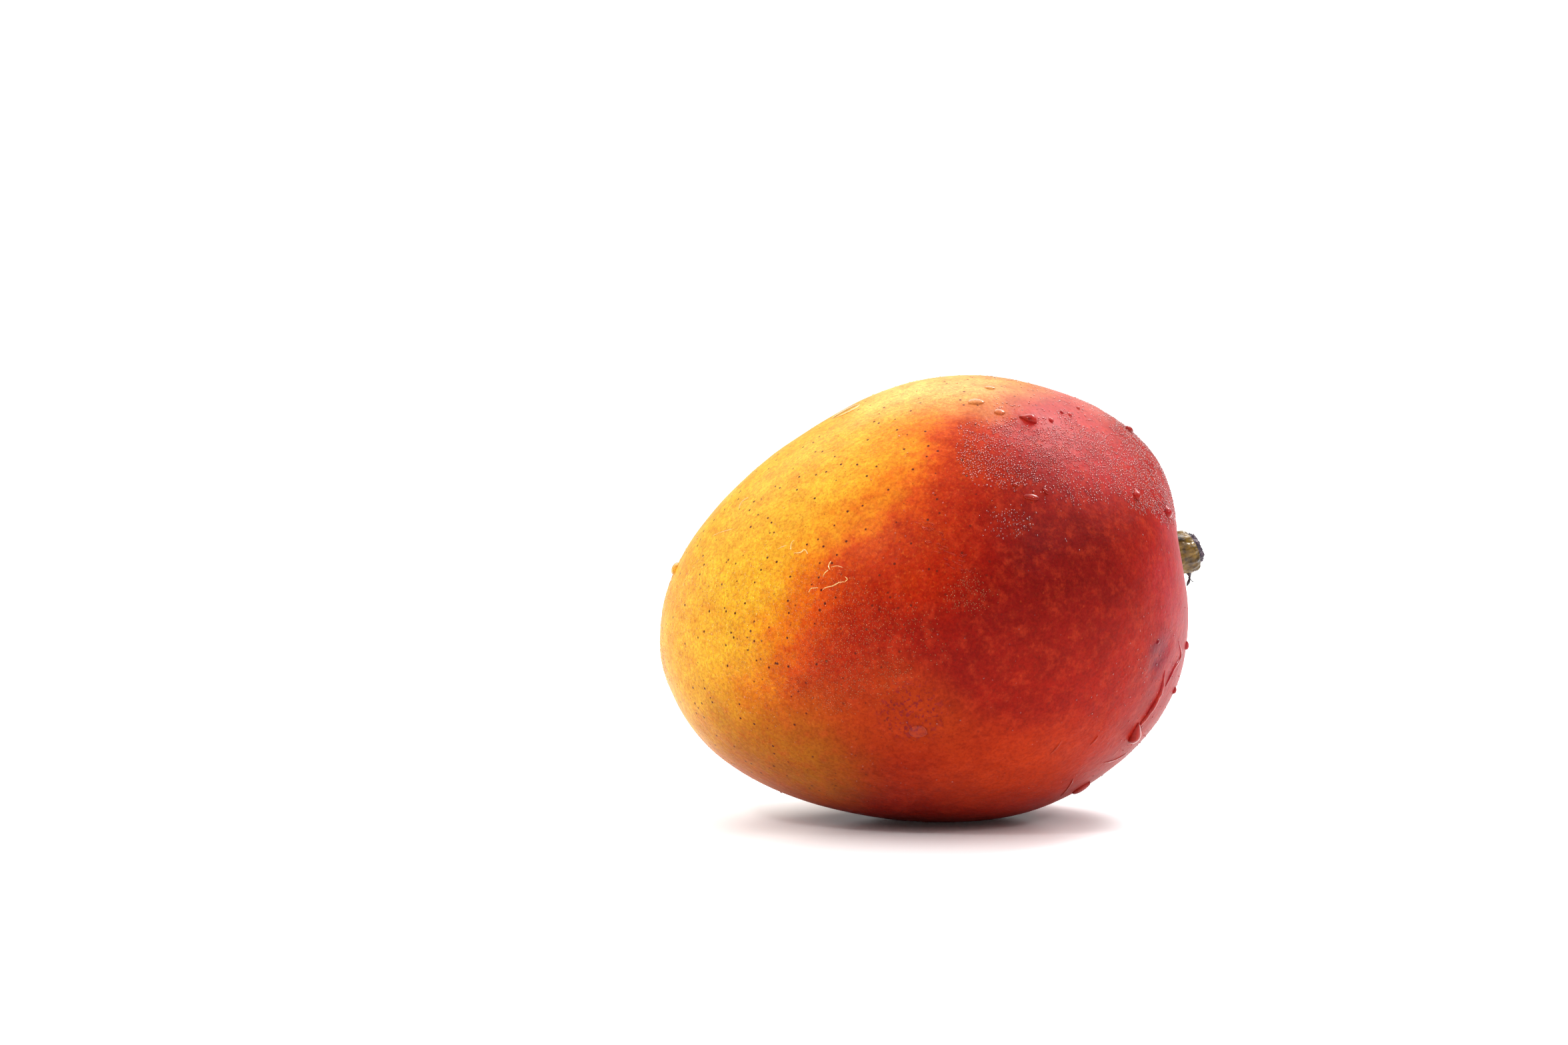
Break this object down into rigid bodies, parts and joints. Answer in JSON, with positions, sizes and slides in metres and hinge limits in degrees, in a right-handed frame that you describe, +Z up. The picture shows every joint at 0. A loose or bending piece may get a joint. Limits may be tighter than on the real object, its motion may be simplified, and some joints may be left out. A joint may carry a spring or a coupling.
{
  "type": "mango",
  "caption": "Whole ripe mango lying on one cheek, blushed from yellow to crimson, with a short broken stub of stalk.",
  "frame": {"origin": "on the surface the fruit lies on, under the middle of the whole part's bounding box", "axes": "+X from the tip to the stalk, -Y towards the fuller back edge, +Z up through the upper cheek"},
  "size_m": [0.1182, 0.0988, 0.0921],
  "materials": {
    "fruit_skin": "waxy skin, yellow at the tip, orange over the middle and crimson at the shoulders, with small dark pores",
    "stalk_bark": "olive-brown ridged bark with a dark crumbled break",
    "withered_bract": "dry, nearly black"
  },
  "bodies": {
    "root": {"mango_fruit": "fruit_skin", "stalk_stub": "stalk_bark", "dried_bract": "withered_bract"}
  },
  "joints": []
}
